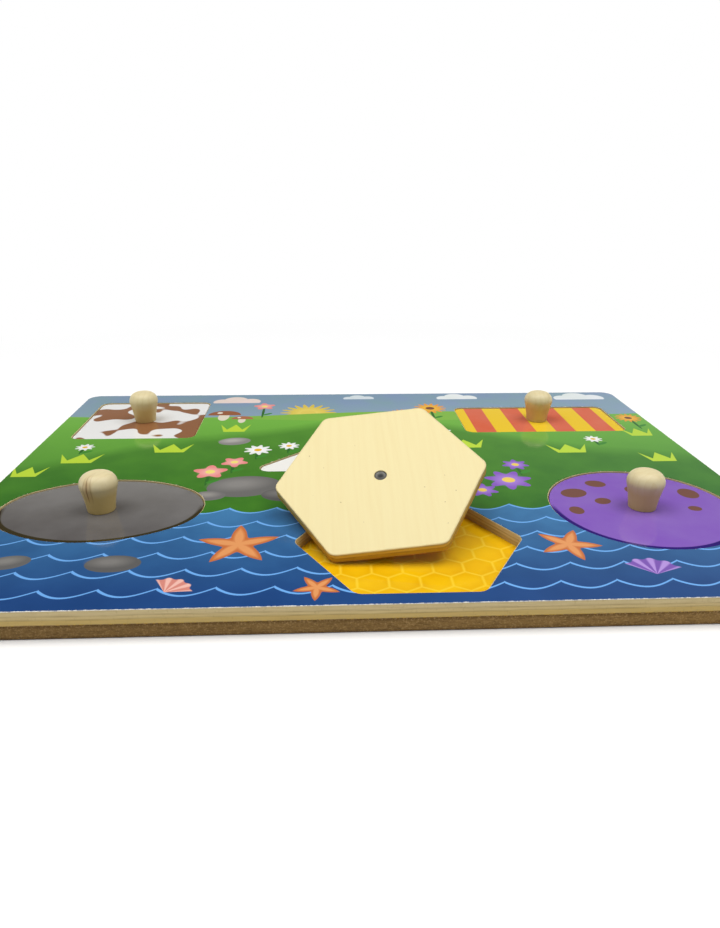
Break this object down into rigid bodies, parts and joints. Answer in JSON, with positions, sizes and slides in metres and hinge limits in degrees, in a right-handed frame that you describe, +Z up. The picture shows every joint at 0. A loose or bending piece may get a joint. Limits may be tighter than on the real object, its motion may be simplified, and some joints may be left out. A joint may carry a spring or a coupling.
{
  "type": "peg puzzle",
  "caption": "Wooden peg puzzle: a printed picture board with shaped recesses and flat knobbed pieces that lift out; the hexagon leans upside down in its recess.",
  "frame": {"origin": "middle of the board's underside, on the surface that it lies on", "axes": "+X to the right along the long side, +Y from the front edge to the rear edge, +Z up, the way the pieces lift out"},
  "size_m": [0.3, 0.222, 0.0413],
  "materials": {
    "fibreboard": "raw sawn fibreboard",
    "floor_print": "gloss-varnished printed sheet",
    "frame_plywood": "raw sawn plywood edge",
    "picture_print": "gloss-varnished printed sheet",
    "plate_plywood": "sanded plywood",
    "peg_wood": "turned and lightly lacquered",
    "nail_steel": "dull steel",
    "oval_print": "gloss-varnished printed sheet",
    "circle_print": "gloss-varnished printed sheet",
    "hexagon_print": "gloss-varnished printed sheet",
    "square_print": "gloss-varnished printed sheet",
    "rectangle_print": "gloss-varnished printed sheet",
    "triangle_print": "gloss-varnished printed sheet"
  },
  "bodies": {
    "board": {"backing_board": "fibreboard", "floor_sheet": "floor_print", "frame_board": "frame_plywood", "picture_sheet": "picture_print"},
    "oval_piece": {"oval_plate": "plate_plywood", "oval_print": "oval_print", "oval_peg": "peg_wood", "oval_nail": "nail_steel"},
    "circle_piece": {"circle_plate": "plate_plywood", "circle_print": "circle_print", "circle_peg": "peg_wood", "circle_nail": "nail_steel"},
    "hexagon_piece": {"hexagon_plate": "plate_plywood", "hexagon_print": "hexagon_print", "hexagon_peg": "peg_wood", "hexagon_nail": "nail_steel"},
    "square_piece": {"square_plate": "plate_plywood", "square_print": "square_print", "square_peg": "peg_wood", "square_nail": "nail_steel"},
    "rectangle_piece": {"rectangle_plate": "plate_plywood", "rectangle_print": "rectangle_print", "rectangle_peg": "peg_wood", "rectangle_nail": "nail_steel"},
    "triangle_piece": {"triangle_plate": "plate_plywood", "triangle_print": "triangle_print", "triangle_peg": "peg_wood", "triangle_nail": "nail_steel"}
  },
  "joints": [
    {"name": "oval_lift", "type": "slide", "parent": "board", "child": "oval_piece", "axis": [0, 0, 1], "range_m": [0, 0.04]},
    {"name": "circle_lift", "type": "slide", "parent": "board", "child": "circle_piece", "axis": [0, 0, 1], "range_m": [0, 0.04]},
    {"name": "hexagon_lift", "type": "slide", "parent": "board", "child": "hexagon_piece", "axis": [0, 0, 1], "range_m": [0, 0.04]},
    {"name": "square_lift", "type": "slide", "parent": "board", "child": "square_piece", "axis": [0, 0, 1], "range_m": [0, 0.04]},
    {"name": "rectangle_lift", "type": "slide", "parent": "board", "child": "rectangle_piece", "axis": [0, 0, 1], "range_m": [0, 0.04]},
    {"name": "triangle_lift", "type": "slide", "parent": "board", "child": "triangle_piece", "axis": [0, 0, 1], "range_m": [0, 0.04]}
  ]
}
